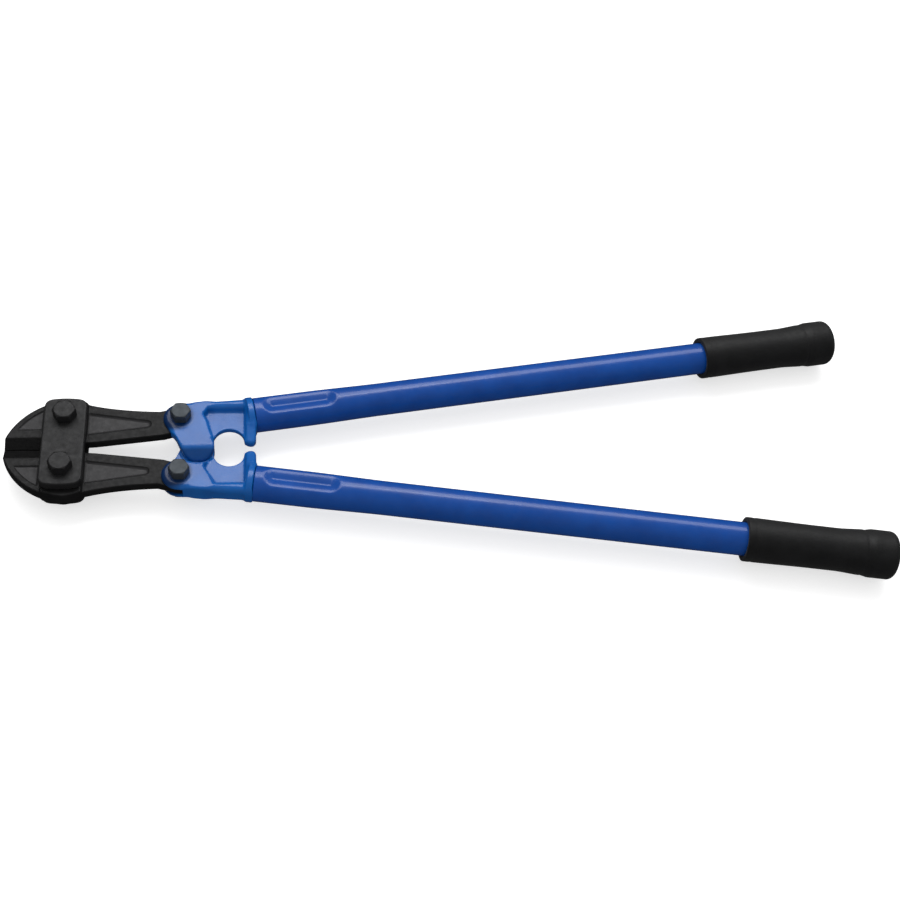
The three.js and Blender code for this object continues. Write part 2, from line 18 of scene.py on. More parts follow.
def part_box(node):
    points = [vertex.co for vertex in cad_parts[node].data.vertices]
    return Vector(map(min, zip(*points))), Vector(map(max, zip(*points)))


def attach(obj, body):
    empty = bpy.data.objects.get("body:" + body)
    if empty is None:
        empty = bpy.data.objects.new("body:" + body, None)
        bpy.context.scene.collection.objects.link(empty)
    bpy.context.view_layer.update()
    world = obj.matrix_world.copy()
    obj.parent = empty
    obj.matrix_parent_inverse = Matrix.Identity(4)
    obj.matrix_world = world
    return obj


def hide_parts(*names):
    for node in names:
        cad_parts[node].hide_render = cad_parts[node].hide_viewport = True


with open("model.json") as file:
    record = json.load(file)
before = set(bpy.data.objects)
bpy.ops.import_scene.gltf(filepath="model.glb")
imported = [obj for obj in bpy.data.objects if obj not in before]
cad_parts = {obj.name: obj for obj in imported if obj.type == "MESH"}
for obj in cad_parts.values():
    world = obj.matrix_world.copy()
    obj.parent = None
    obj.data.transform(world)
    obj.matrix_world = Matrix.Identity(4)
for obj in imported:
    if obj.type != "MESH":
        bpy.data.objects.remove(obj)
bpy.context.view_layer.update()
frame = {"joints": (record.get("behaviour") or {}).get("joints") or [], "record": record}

# ------------------------------------------------------------------ places read from the frame

MM = 0.001
JOINTS = {joint["name"]: joint for joint in frame["joints"]}
MOUNTS = {mount["name"]: mount for mount in frame["record"]["mounts"]}
TIP_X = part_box("upper_jaw")[0].x
MID_Z = JOINTS["upper_jaw_pivot"]["pos_m"][2]


def tool(point):
    """A point of the row frame, in metres, as millimetres in the tool's frame."""
    return np.array([point[0] - TIP_X, point[1], point[2] - MID_Z]) / MM


PLATE_PIVOT = tool(JOINTS["upper_jaw_pivot"]["pos_m"])[:2]
TAIL_PIVOT = tool(JOINTS["upper_handle_pivot"]["pos_m"])[:2]
PIN_LOW, PIN_HIGH = (tool(corner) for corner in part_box("centre_pin"))
CENTRE_PIVOT = (PIN_LOW[:2] + PIN_HIGH[:2]) / 2
GRIP_END = tool(MOUNTS["upper_grip_end"]["pos_m"])[:2]
HANDLE_DIRECTION = np.array(MOUNTS["upper_grip_end"]["axis"][:2])
HANDLE_LENGTH = 555.69
HANDLE_START = GRIP_END - HANDLE_LENGTH * HANDLE_DIRECTION

# ------------------------------------------------------------------ dimensions, mm

BORE_ROOM = 0.2  # round every bolt and pin

# Jaws
EDGE_GAP = 0.05  # from the cutting edge to the centre line
EDGE_HALF = 0.6  # half thickness along the cutting edge
JAW_FRONT_HALF = 5.0  # half thickness in front of the plates, between them and behind them
JAW_BOSS_HALF = 6.9
JAW_TAIL_HALF = 4.2
BOSS_START = (32.4, 33.8)  # X over which the thickness changes
BOSS_END = (65.4, 67.6)
NOSE_CENTRE = (57.9, -9.9)
NOSE_RADIUS = 61.2
HEEL_RADIUS = PLATE_PIVOT[1] - EDGE_GAP
TAIL_LUG_RADIUS = 13.5
BEVEL_WIDTH = 10.75
BEVEL_END = (37.0, 39.5)
PANEL_CORNER = (30.5, 18.5)  # forged recess of the cheek
PANEL_RIM = 4.7
PANEL_DEPTH = 1.0
POCKET_END = (117, 24.6)  # forged recess of the tail
POCKET_END_RADIUS = 4.1
POCKET_DEPTH = 1.5

# Side plates
PLATE_LOW = tool(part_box("front_plate")[0])
PLATE_HIGH = tool(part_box("front_plate")[1])
PLATE_CORNER = 7.5
PLATE_HALF_LENGTH = 43.2
PLATE_CROWN = 2.4
PLATE_EDGE = 1.5

# Handle heads
CASTING_HALF = 8.9
EAR_RADIUS = 15.0
SLOT_HALF = JAW_TAIL_HALF + 0.3
SLOT_RADIUS = TAIL_LUG_RADIUS + 0.5
LOBE_RADIUS = 13.8
LOBE_SLOPE_Y = -2.6
LAP_Z = 0.15
PIVOT_PLAY = 1.7
SOCKET_DRAFT = 0.5
PIN_SHANK = 5.5
STOP_X = (201.3, 210.3)
STOP_ROOT_Y, STOP_ROUND_Y, STOP_TIP_Y = 40, 10, 3.5
RIB_END = 206.4
RIB_INNER_Y = 38.4
WEB_LOW, WEB_HIGH = (160, 6), (206, 41)
WEB_HALF = 2.5
WEB_BAY, WEB_BAY_RADIUS = (187.3, 6), 13.3
OPEN_ANGLE = 62.5  # of the twin's ear about the centre pivot, degrees

# Tubes and collars
TUBE_RADIUS = 14.6
TUBE_WALL = 2.0
TUBE_START = 0.8
TUBE_WIDENING = 0.08
WIDENING = (45.0, 115.0)
COLLAR = (-5.6, 0.2)
COLLAR_RADIUS = 15.3
CRIMP = (8.0, 73.0)
CRIMP_HALF_WIDTH = 9.0
CRIMP_DEPTH = 5.2

# Grips
GRIP_LENGTH = 132.5
GRIP_BORE = TUBE_RADIUS + 0.3
GRIP_END_WALL = 7.0
GRIP_CORNER = 6.0
GRIP_DISH = 1.4
AXIS_RING = 0.5  # radius of the last ring before the axis

# Bolts
PLATE_BOLT = {"shank": 5.9, "flats": 17.5, "washer": 10.5}
TAIL_BOLT = {"shank": 4.9, "flats": 15.5, "washer": 9.0}
THREAD_PITCH = 1.75
THREAD_DEPTH = 0.8
THREAD_LENGTH = 16

# Segments round a turned piece
HARDWARE_SEGMENTS = 96
TUBE_SEGMENTS = 160
GRIP_SEGMENTS = 192

# ------------------------------------------------------------------ light and view

SKY_BELOW, SKY_ABOVE = 0.15, 0.68
SKY_SEEN, SKY_MIRRORED = 1.0, 0.035
VIEW_ELEVATION, VIEW_AZIMUTH, VIEW_ROLL = 53.99, -13.25, 10.23  # degrees
VIEW_DISTANCE = 1.20389  # metres
VIEW_TARGET = (-0.00089, -0.00319, MID_Z)
SENSOR_WIDTH, LENS = 36, 54.7376  # mm

# ------------------------------------------------------------------ distance fields


def smoothstep(value, low, high):
    """0 below low, 1 above high, and smooth between."""
    t = np.clip((value - low) / (high - low), 0, 1)
    return t * t * (3 - 2 * t)


def join(a, b, fillet=0.0):
    """Union of two fields with a fillet along the seam."""
    if not fillet:
        return np.minimum(a, b)
    h = np.maximum(fillet - np.abs(a - b), 0) / fillet
    return np.minimum(a, b) - h * h * fillet / 4


def cut(a, b, fillet=0.0):
    """Field a without b."""
    return -join(-a, b, fillet)


def grid(low, high, step):
    """Open X, Y and Z coordinates; Z always has a node at 0."""
    z_low, z_high = math.floor(low[2] / step), math.ceil(high[2] / step)
    x = np.arange(low[0], high[0] + step, step, dtype=np.float32)
    y = np.arange(low[1], high[1] + step, step, dtype=np.float32)
    z = np.arange(z_low, z_high + 1, dtype=np.float32) * step
    return x[:, None, None], y[None, :, None], z[None, None, :]


def outline_distance(x, y, points):
    """Signed distance to a closed outline of straight pieces, negative inside."""
    nearest = np.full(np.broadcast(x, y).shape, 1e9, np.float32)
    inside = np.zeros(nearest.shape, bool)
    for (ax, ay), (bx, by) in zip(points, np.roll(points, -1, axis=0)):
        ex, ey = bx - ax, by - ay
        length_squared = ex * ex + ey * ey
        if length_squared < 1e-9:
            continue
        wx, wy = x - ax, y - ay
        t = np.clip((wx * ex + wy * ey) / length_squared, 0, 1)
        nearest = np.minimum(nearest, (wx - t * ex) ** 2 + (wy - t * ey) ** 2)
        crosses = (ay <= y) != (by <= y)
        left = (ex * wy - ey * wx > 0) == (by > ay)
        inside ^= crosses & left
    distance = np.sqrt(nearest)
    return np.where(inside, -distance, distance)


def slab(plan, z, half, edge):
    """A plan field given a thickness of 2 * half, with rounded rims."""
    side = plan + edge
    face = np.abs(z) - half + edge
    outside = np.hypot(np.maximum(side, 0), np.maximum(face, 0))
    return np.minimum(np.maximum(side, face), 0) + outside - edge


def round_bar(x, y, centre, radius):
    return np.hypot(x - centre[0], y - centre[1]) - radius


def surface(x, y, z, field):
    """Vertices and quads of the field's zero surface, one vertex in each cell that it crosses."""
    nx, ny, nz = field.shape
    inside = field < 0
    total = np.zeros((nx - 1, ny - 1, nz - 1, 3), np.float32)
    count = np.zeros((nx - 1, ny - 1, nz - 1), np.float32)
    for axis in range(3):
        ahead = [slice(None)] * 3
        behind = [slice(None)] * 3
        ahead[axis], behind[axis] = slice(1, None), slice(None, -1)
        a, b = field[tuple(behind)], field[tuple(ahead)]
        crossing = inside[tuple(behind)] != inside[tuple(ahead)]
        share = np.where(crossing, a / np.where(crossing, a - b, 1), 0)
        others = [k for k in range(3) if k != axis]
        for du in (0, 1):
            for dv in (0, 1):
                window = [slice(None)] * 3
                window[others[0]] = slice(du, du + total.shape[others[0]])
                window[others[1]] = slice(dv, dv + total.shape[others[1]])
                hit = crossing[tuple(window)]
                count += hit
                total[..., axis] += np.where(hit, share[tuple(window)], 0)
                total[..., others[0]] += hit * du
                total[..., others[1]] += hit * dv
    active = count > 0
    index = np.full(active.shape, -1, np.int64)
    index[active] = np.arange(active.sum())
    cells = np.argwhere(active)
    places = cells + total[active] / count[active][:, None]
    step = float(x[1, 0, 0] - x[0, 0, 0])
    low = np.array([x[0, 0, 0], y[0, 0, 0], z[0, 0, 0]])
    vertices = low + places * step
    quads = []
    for axis in range(3):
        u, v = (axis + 1) % 3, (axis + 2) % 3
        window = [slice(1, n - 1) for n in field.shape]
        window[axis] = slice(0, field.shape[axis] - 1)
        ahead = list(window)
        ahead[axis] = slice(1, field.shape[axis])
        first, second = inside[tuple(window)], inside[tuple(ahead)]
        offset = np.array([w.start for w in window])
        for outward, mask in ((True, first & ~second), (False, ~first & second)):
            nodes = np.argwhere(mask) + offset
            corners = []
            for du, dv in ((1, 1), (0, 1), (0, 0), (1, 0)):
                cell = nodes.copy()
                cell[:, u] -= du
                cell[:, v] -= dv
                corners.append(index[cell[:, 0], cell[:, 1], cell[:, 2]])
            quads.append(np.stack(corners if outward else corners[::-1], axis=1))
    return vertices, np.concatenate(quads)


# ------------------------------------------------------------------ outlines


def arc(centre, radius, start, end, count=24):
    angles = np.radians(np.linspace(start, end, count))
    return np.stack([centre[0] + radius * np.cos(angles), centre[1] + radius * np.sin(angles)], axis=1)


def bezier(*points, count=16):
    """A quadratic or cubic curve through its first and last point."""
    points = np.array(points, float)
    t = np.linspace(0, 1, count)[:, None]
    while len(points) > 1:
        if points.ndim == 2:
            points = np.repeat(points[:, None, :], count, axis=1)
        points = points[:-1] * (1 - t) + points[1:] * t
    return points[0]


def path(*stretches):
    return np.concatenate([np.atleast_2d(np.array(stretch, float)) for stretch in stretches])


def angle_of(centre, point):
    return math.degrees(math.atan2(point[1] - centre[1], point[0] - centre[0]))


def polar(centre, radius, degrees):
    angle = math.radians(degrees)
    return np.array([centre[0] + radius * math.cos(angle), centre[1] + radius * math.sin(angle)])


def nose_point(radius, x=None, y=None):
    """The point of a circle about the nose's centre at a given x (its top) or y (its front)."""
    if x is None:
        return (NOSE_CENTRE[0] - math.sqrt(radius**2 - (y - NOSE_CENTRE[1]) ** 2), y)
    return (x, NOSE_CENTRE[1] + math.sqrt(radius**2 - (x - NOSE_CENTRE[0]) ** 2))


def jaw_outline():
    top = nose_point(NOSE_RADIUS, x=51)
    foot = nose_point(NOSE_RADIUS, x=0)
    return path(
        (0, EDGE_GAP),
        arc(PLATE_PIVOT, HEEL_RADIUS, -90, -56, 10),
        (75, 5.3),
        (132, 12.6),
        arc(TAIL_PIVOT, TAIL_LUG_RADIUS, -100, 120, 30),
        bezier((128, 38.2), (104, 38.6), (82, 41.6), (67, 46)),
        bezier((67, 46), (58, 50.6), top),
        arc(NOSE_CENTRE, NOSE_RADIUS, angle_of(NOSE_CENTRE, top), angle_of(NOSE_CENTRE, foot), 40),
    )


def cheek_panel_outline():
    radius = NOSE_RADIUS - PANEL_RIM
    low = nose_point(radius, y=PANEL_CORNER[1])
    high = nose_point(radius, x=PANEL_CORNER[0])
    return path(
        low,
        PANEL_CORNER,
        arc(NOSE_CENTRE, radius, angle_of(NOSE_CENTRE, high), angle_of(NOSE_CENTRE, low), 16),
    )


def tail_pocket_outline():
    return path((60, 12.0), arc(POCKET_END, POCKET_END_RADIUS, -81, 80, 14), (60, 38.0))


def plate_outline():
    low_x, high_x = PLATE_LOW[0], PLATE_HIGH[0]
    middle, corner, half = (low_x + high_x) / 2, PLATE_CORNER, PLATE_HALF_LENGTH
    crown, shoulder = half + PLATE_CROWN, half - corner
    end = [
        bezier((high_x, shoulder), (high_x, half), (high_x - corner, half + 1)),
        bezier((high_x - corner, half + 1), (middle, crown), (low_x + corner, half + 1)),
        bezier((low_x + corner, half + 1), (low_x, half), (low_x, shoulder)),
    ]
    top = path(*end)
    return path(top, [(low_x + high_x, 0)] - top)


def link_outline(a, radius_a, b, radius_b):
    length = math.hypot(b[0] - a[0], b[1] - a[1])
    heading = angle_of(a, b)
    spread = math.degrees(math.acos((radius_a - radius_b) / length))
    return path(
        arc(a, radius_a, heading + spread, heading - spread + 360, 40),
        arc(b, radius_b, heading - spread, heading + spread, 40),
    )


def slot_outline():
    top = polar(TAIL_PIVOT, SLOT_RADIUS, 52)
    bottom = polar(TAIL_PIVOT, SLOT_RADIUS, -100)
    return path(
        arc(TAIL_PIVOT, SLOT_RADIUS, -100, 52, 30),
        polar(top, 60, 142),
        polar(bottom, 60, 198),
    )


# ------------------------------------------------------------------ forged and cast shapes


def jaw_shape(step):
    """A forged jaw: its thickness is a function of place, its outline is a rounded slab."""
    x, y, z = grid((-1.2, -1.2, -8), (161, 53, 8), step)
    half = JAW_FRONT_HALF + (JAW_BOSS_HALF - JAW_FRONT_HALF) * smoothstep(x, *BOSS_START)
    half = half + (JAW_TAIL_HALF - half) * smoothstep(x, *BOSS_END)
    panel = outline_distance(x, y, cheek_panel_outline())
    half = half - PANEL_DEPTH * smoothstep(-panel, -0.2, 1.4)
    pocket = outline_distance(x, y, tail_pocket_outline())
    half = half - POCKET_DEPTH * smoothstep(-pocket, -0.4, 2.6) * smoothstep(x, 66, 70)
    slope = (JAW_FRONT_HALF - EDGE_HALF) / BEVEL_WIDTH
    bevel = EDGE_HALF + slope * (y - EDGE_GAP) + 9 * smoothstep(x, *BEVEL_END)
    half = join(half, bevel, 0.5)
    edge = np.clip(half * 0.5, 0.12, 1.3)
    body = slab(outline_distance(x, y, jaw_outline()), z, half, edge)
    body = cut(body, round_bar(x, y, PLATE_PIVOT, PLATE_BOLT["shank"] + BORE_ROOM))
    body = cut(body, round_bar(x, y, TAIL_PIVOT, TAIL_BOLT["shank"] + BORE_ROOM))
    return x, y, z, body


def jaw_finish_and_shade(vertices):
    """How far each point of the jaw is down in a forged recess, and on the ground bevel, where the material
    paints shade, 0 to 1.
    """
    x, y, z = vertices.T
    land = np.where(x < PLATE_LOW[0], JAW_FRONT_HALF, JAW_TAIL_HALF)
    depth = smoothstep(land - np.abs(z), 0.25, 0.9)
    recess = np.minimum(
        outline_distance(x, y, cheek_panel_outline()),
        outline_distance(x, y, tail_pocket_outline()),
    )
    # painted shade: the mask of the ground bevel, which the jaw's steel darkens
    bevel = smoothstep(-y, -BEVEL_WIDTH - 0.3, -BEVEL_WIDTH + 0.5) * smoothstep(-x, -40, -38)
    return {"recess": depth * smoothstep(-recess, -0.5, 0.8), "bevel": bevel}


def casting_painted_shade(vertices):
    """How much painted shade each point of a handle casting gets on its ear and below its knuckle, 0 to 1.
    """
    x, y, _ = vertices.T
    # painted shade: darker round the tail pivot's ear and on the lobe's slope below the knuckle
    ear = 0.9 * (1 - smoothstep(np.hypot(x - TAIL_PIVOT[0] + 4.5, y - TAIL_PIVOT[1]), 11.5, 17.0))
    knuckle = 0.5 * (1 - smoothstep(y, -6.0, -2.0))
    return {"painted_shade": np.maximum(ear, knuckle)}


def plate_shape(step):
    """The front side plate with the holes of its two bolts."""
    middle = (PLATE_LOW[2] + PLATE_HIGH[2]) / 2
    half = (PLATE_HIGH[2] - PLATE_LOW[2]) / 2
    x, y, z = grid(PLATE_LOW - 1.2, PLATE_HIGH + 1.2, step)
    body = slab(outline_distance(x, y, plate_outline()), z - middle, half, PLATE_EDGE)
    for side in (-1, 1):
        hole = round_bar(x, y, (PLATE_PIVOT[0], side * PLATE_PIVOT[1]), PLATE_BOLT["shank"] + BORE_ROOM)
        body = cut(body, hole)
    return x, y, z, body


def casting_shape(step):
    """The handle head without the hole of its centre pivot."""
    x, y, z = grid((128, -17, -19), (228, 58, 19), step)
    link = outline_distance(x, y, link_outline(TAIL_PIVOT, EAR_RADIUS, CENTRE_PIVOT, LOBE_RADIUS))
    outer = path(polar(TAIL_PIVOT, EAR_RADIUS, 82), (165, 46.6), (RIB_END, 50))
    front_plan = outline_distance(x, y, path(
        outer, (RIB_END, RIB_INNER_Y), (169, RIB_INNER_Y), (165.5, 33), (168.8, 24.3), (172.6, 8.4),
        CENTRE_PIVOT, TAIL_PIVOT,
    ))
    rear_plan = outline_distance(x, y, path(
        outer, (RIB_END, RIB_INNER_Y), (175.8, RIB_INNER_Y), (165, 20.5), CENTRE_PIVOT, TAIL_PIVOT,
    ))
    rib = smoothstep(x, 166, 178) * smoothstep(y, 30, 38)
    ear_near = 1 - smoothstep(round_bar(x, y, TAIL_PIVOT, EAR_RADIUS), 0, 5)
    edge = 2.6 + 2.8 * rib + 1.6 * ear_near * (1 - rib)
    front = slab(join(link, front_plan, 3.0), z, CASTING_HALF, edge)
    rear = slab(join(link, rear_plan, 3.0), z, CASTING_HALF, edge)
    body = front + (rear - front) * smoothstep(-z, 0, 2)

    web_box = np.maximum(
        np.maximum(WEB_LOW[0] - x, x - WEB_HIGH[0]),
        np.maximum(WEB_LOW[1] - y, y - WEB_HIGH[1]),
    )
    web_plan = cut(web_box, round_bar(x, y, WEB_BAY, WEB_BAY_RADIUS), 1.0)
    body = join(body, slab(web_plan, z, WEB_HALF, 1.0), 3.0)

    # The far half of the lap leaves room for the twin's lobe and neck.
    below_lap = z - LAP_Z
    socket_radius = LOBE_RADIUS + PIVOT_PLAY + SOCKET_DRAFT * np.maximum(-z, 0)
    socket = np.maximum(round_bar(x, y, CENTRE_PIVOT, socket_radius), below_lap)
    swing_plan = outline_distance(x, y, path(
        CENTRE_PIVOT, TAIL_PIVOT, polar(TAIL_PIVOT, 60, 200), polar(CENTRE_PIVOT, 60, 200),
    ))
    body = cut(body, socket, 1.6)
    body = cut(body, np.maximum(swing_plan, below_lap), 1.2)
    reach = np.hypot(*(TAIL_PIVOT - CENTRE_PIVOT))
    twin_ear = polar(CENTRE_PIVOT, reach, -angle_of(CENTRE_PIVOT, TAIL_PIVOT) - OPEN_ANGLE)
    body = cut(body, round_bar(x, y, twin_ear, EAR_RADIUS + 1.2), 1.5)

    # The lobe's free side slopes down to the lap.
    fall, run = CASTING_HALF - 1.0, LOBE_RADIUS + LOBE_SLOPE_Y
    slope = (-fall * (y - LOBE_SLOPE_Y) + run * (z - CASTING_HALF)) / math.hypot(fall, run)
    body = -join(-body, -slope, 2.0)

    ear = slab(round_bar(x, y, TAIL_PIVOT, EAR_RADIUS), z, CASTING_HALF, 4.2)
    body = join(body, ear, 0.6)

    low_x, high_x = STOP_X
    middle = (low_x + high_x) / 2
    stop_plan = outline_distance(x, y, path(
        (low_x, STOP_ROOT_Y),
        bezier((low_x, STOP_ROUND_Y), (low_x, STOP_TIP_Y), (middle, STOP_TIP_Y), count=8),
        bezier((middle, STOP_TIP_Y), (high_x, STOP_TIP_Y), (high_x, STOP_ROUND_Y), count=8),
        (high_x, STOP_ROOT_Y),
    ))
    stop_half = np.minimum(2.2 + 0.33 * y, CASTING_HALF) + 0 * x
    body = join(body, slab(stop_plan, z, stop_half, 2.5), 3.0)

    along, across = handle_coordinates(x, y)
    across = across / (1 + TUBE_WIDENING)
    radius = np.hypot(across, z)
    collar_half = (COLLAR[1] - COLLAR[0]) / 2
    collar = slab(radius - COLLAR_RADIUS, along - sum(COLLAR) / 2, collar_half, 1.3)
    body = join(body, collar, 3.6)
    tang = slab(radius - (TUBE_RADIUS - TUBE_WALL - 0.3), along - 3, 5, 0.8)
    body = join(body, tang, 0.3)

    slot = np.maximum(outline_distance(x, y, slot_outline()), np.abs(z) - SLOT_HALF)
    body = cut(body, slot)
    body = cut(body, round_bar(x, y, TAIL_PIVOT, TAIL_BOLT["shank"] + BORE_ROOM))
    return x, y, z, body


def handle_coordinates(x, y):
    """Distances along the upper handle's axis and across it."""
    dx, dy = x - HANDLE_START[0], y - HANDLE_START[1]
    cos, sin = HANDLE_DIRECTION
    return dx * cos + dy * sin, dy * cos - dx * sin


def blind_pin_hole(x, y, z, body):
    """The upper casting's hole, which holds the pin and stops short of the front."""
    hole = round_bar(x, y, CENTRE_PIVOT, PIN_SHANK + BORE_ROOM)
    return cut(body, np.maximum(hole, z - PIN_HIGH[2] - BORE_ROOM))


def loose_pin_hole(x, y, z, body):
    """The lower casting's hole, with the play of the open pivot."""
    return cut(body, round_bar(x, y, CENTRE_PIVOT, PIN_SHANK + PIVOT_PLAY))


# ------------------------------------------------------------------ hardware shapes


def hexagon(x, y, flats):
    distance = -np.inf
    for degrees in (30, 90, 150):
        angle = math.radians(degrees)
        distance = np.maximum(distance, np.abs(x * math.cos(angle) + y * math.sin(angle)))
    return distance - flats / 2


def hexagon_solid(x, y, z, flats, low, high, chamfer_low, chamfer_high):
    """A hexagon between two heights, its corners taken off by 30 degree cones."""
    middle, half = (low + high) / 2, (high - low) / 2
    body = slab(hexagon(x, y, flats), z - middle, half, 0.35)
    radius = np.hypot(x, y)
    face = 0.94 * flats / 2
    for wanted, room in ((chamfer_high, high - z), (chamfer_low, z - low)):
        if wanted:
            cone = (radius - face - room * math.sqrt(3)) / 2
            body = -join(-body, -cone, 0.3)
    return body


def bolt_shape(step, spec, low, seat, top):
    """A hexagon bolt standing on its axis, its thread running up from the low end."""
    reach = spec["flats"] / math.sqrt(3) + 1
    x, y, z = grid((-reach, -reach, low - 1), (reach, reach, top + 1), step)
    head = hexagon_solid(x, y, z, spec["flats"], seat, top, False, True)
    radius = np.hypot(x, y)
    turn = np.arctan2(y, x) / (2 * math.pi)
    wave = np.abs((z / THREAD_PITCH - turn) % 1 - 0.5) * 2
    thread_end = low + THREAD_LENGTH
    thread = THREAD_DEPTH * smoothstep(wave, 0.1, 0.9) * (1 - smoothstep(z, thread_end, thread_end + 1))
    chamfer = np.maximum(1.2 - (z - low), 0)
    high = seat + 2
    side = radius - spec["shank"] + thread + chamfer
    shank = slab(side, z - (low + high) / 2, (high - low) / 2, 0.2)
    return x, y, z, join(head, shank)


def nut_shape(step, spec, low, high):
    reach = spec["flats"] / math.sqrt(3) + 1
    x, y, z = grid((-reach, -reach, low - 1), (reach, reach, high + 1), step)
    body = hexagon_solid(x, y, z, spec["flats"], low, high, True, True)
    return x, y, z, cut(body, np.hypot(x, y) - spec["shank"] - BORE_ROOM, 0.4)


# ------------------------------------------------------------------ lofted shapes


def turned(profile, segments):
    """Rings of vertices, one for each (radius, height) of a profile turned about Z."""
    angles = np.linspace(0, 2 * math.pi, segments, endpoint=False)
    rings = np.array(profile, float)
    return np.stack([
        rings[:, 0, None] * np.cos(angles),
        rings[:, 0, None] * np.sin(angles),
        np.repeat(rings[:, 1, None], segments, axis=1),
    ], axis=2).reshape(-1, 3)


def lathe(profile, segments):
    """A solid turned about Z, its first and last ring closed by quads that meet on the axis."""
    rings = turned(profile, segments)
    poles = np.array([(0, 0, profile[0][1]), (0, 0, profile[-1][1])], float)
    first_pole, last_pole = len(rings), len(rings) + 1
    even = np.arange(0, segments, 2)
    corners = np.stack([even, even + 1, (even + 2) % segments], axis=1)
    last_ring = (len(profile) - 1) * segments
    first_cap = np.insert(corners[:, ::-1], 0, first_pole, axis=1)
    last_cap = np.insert(corners + last_ring, 0, last_pole, axis=1)
    faces = np.concatenate([ring_faces(len(profile), segments), first_cap, last_cap])
    return np.concatenate([rings, poles]), faces


def ring_faces(count, segments, closed=False):
    """Quads between rings of vertices, each ring joined to the next."""
    rows = np.arange(count if closed else count - 1)
    columns = np.arange(segments)
    a = rows[:, None] * segments + columns
    b = rows[:, None] * segments + (columns + 1) % segments
    shift = np.where(rows + 1 == count, -count * segments, 0)[:, None] + segments
    return np.stack([a, b, b + shift, a + shift], axis=2).reshape(-1, 4)


def rounded_profile(corners, radius, steps=4):
    """A polyline whose inner corners are rounded."""
    corners = [np.array(c, float) for c in corners]
    profile = [corners[0]]
    for before, corner, after in zip(corners, corners[1:], corners[2:]):
        room = min(radius, *(np.linalg.norm(other - corner) / 2.1 for other in (before, after)))
        first = corner + (before - corner) / np.linalg.norm(before - corner) * room
        last = corner + (after - corner) / np.linalg.norm(after - corner) * room
        profile.extend(bezier(first, corner, last, count=steps))
    profile.append(corners[-1])
    return profile


def washer_shape(spec, low, high):
    hole, rim = spec["shank"] + BORE_ROOM, spec["washer"]
    start = (hole + 1, low)
    profile = rounded_profile([start, (rim, low), (rim, high), (hole, high), (hole, low), start], 0.35)[:-1]
    return turned(profile, HARDWARE_SEGMENTS), ring_faces(len(profile), HARDWARE_SEGMENTS, closed=True)


def pin_shape():
    """The centre pin, with a domed head on the rear."""
    low, high = PIN_LOW[2], PIN_HIGH[2]
    rim = PIN_HIGH[0] - CENTRE_PIVOT[0]
    seat = low + 3.0
    turns = np.linspace(0.08, math.pi / 2, 14)
    dome = [(rim * math.sin(a), seat - 0.8 - 2.2 * math.cos(a)) for a in turns]
    profile = dome + rounded_profile([(rim, seat - 0.7), (rim, seat), (PIN_SHANK, seat)], 0.3)
    profile += rounded_profile([(PIN_SHANK, seat + 0.2), (PIN_SHANK, high), (AXIS_RING, high)], 0.6)
    return lathe(profile, HARDWARE_SEGMENTS)


def tube_shape():
    """The handle tube: outside, front rim and inside, widened and crimped near the front."""
    end = HANDLE_LENGTH - GRIP_END_WALL - 0.3
    plain = 125
    places = np.concatenate([np.arange(TUBE_START, plain, 0.8), np.linspace(plain, end, 90)])
    angles = np.linspace(0, 2 * math.pi, TUBE_SEGMENTS, endpoint=False)

    def rings(along, radius):
        s = np.atleast_1d(along)[:, None]
        wide = 1 + TUBE_WIDENING * (1 - smoothstep(s, *WIDENING))
        across = radius * wide * np.cos(angles)
        height = radius * np.sin(angles) + 0 * s
        centre = np.clip(s, CRIMP[0] + CRIMP_HALF_WIDTH, CRIMP[1] - CRIMP_HALF_WIDTH)
        distance = np.hypot(s - centre, across) / CRIMP_HALF_WIDTH
        wall = 1.04 - np.hypot(distance, 0.14)
        trough = (wall + np.hypot(wall, 0.12)) / 2
        dent = CRIMP_DEPTH * trough * np.sign(height) * smoothstep(np.abs(height), 2, 8)
        return np.stack([across, height - dent, s + 0 * across], axis=2)

    body = np.concatenate([
        rings(places[::-1], TUBE_RADIUS)[:-1],
        rings(TUBE_START + 0.4, TUBE_RADIUS),
        rings(TUBE_START + 0.1, TUBE_RADIUS - 0.15),
        rings(TUBE_START, TUBE_RADIUS - 0.5),
        rings(places, TUBE_RADIUS - TUBE_WALL),
    ])
    return body.reshape(-1, 3), ring_faces(len(body), TUBE_SEGMENTS, closed=True)[:, ::-1]


def grip_radius(back):
    """Outer radius at a distance back from the grip's closed end."""
    waist = 18.7
    mouth = 0.6 * smoothstep(back, 70, GRIP_LENGTH)
    flare = 1.3 * (1 - smoothstep(back, 27, 52))
    swell = 1.1 * (1 - smoothstep(back, 21, 28))
    return waist + mouth + flare + swell


def grip_shape():
    """The grip: dished end, rounded rim, outside with a groove at each end, mouth and bore."""
    end = HANDLE_LENGTH
    mouth = end - GRIP_LENGTH
    floor = end - GRIP_END_WALL
    end_radius = grip_radius(0) - 0.05
    face = end_radius - GRIP_CORNER
    dish = end - GRIP_DISH
    profile = rounded_profile([(AXIS_RING, dish), (face - 4, dish), (face - 1.6, end), (face, end)], 1.2)
    for angle in np.radians(np.linspace(0, 90, 12)[1:]):
        out, back = GRIP_CORNER * math.sin(angle), GRIP_CORNER * math.cos(angle)
        profile.append((face + out, end - GRIP_CORNER + back))
    for back in np.arange(GRIP_CORNER + 0.8, GRIP_LENGTH - 1.8, 0.8):
        groove = 0.3 * math.exp(-(((back - 28.5) / 0.9) ** 2))
        ring = 0.2 * math.exp(-(((GRIP_LENGTH - back - 7) / 1.2) ** 2))
        profile.append((min(grip_radius(back), end_radius) - groove - ring, end - back))
    radius = grip_radius(GRIP_LENGTH)
    rim = [(radius, mouth + 1.6), (radius - 0.1, mouth), (GRIP_BORE, mouth), (GRIP_BORE, floor)]
    profile.extend(rounded_profile(rim, 1.3))
    profile.append((AXIS_RING, floor))
    return lathe(profile[::-1], GRIP_SEGMENTS)


# ------------------------------------------------------------------ meshes and objects


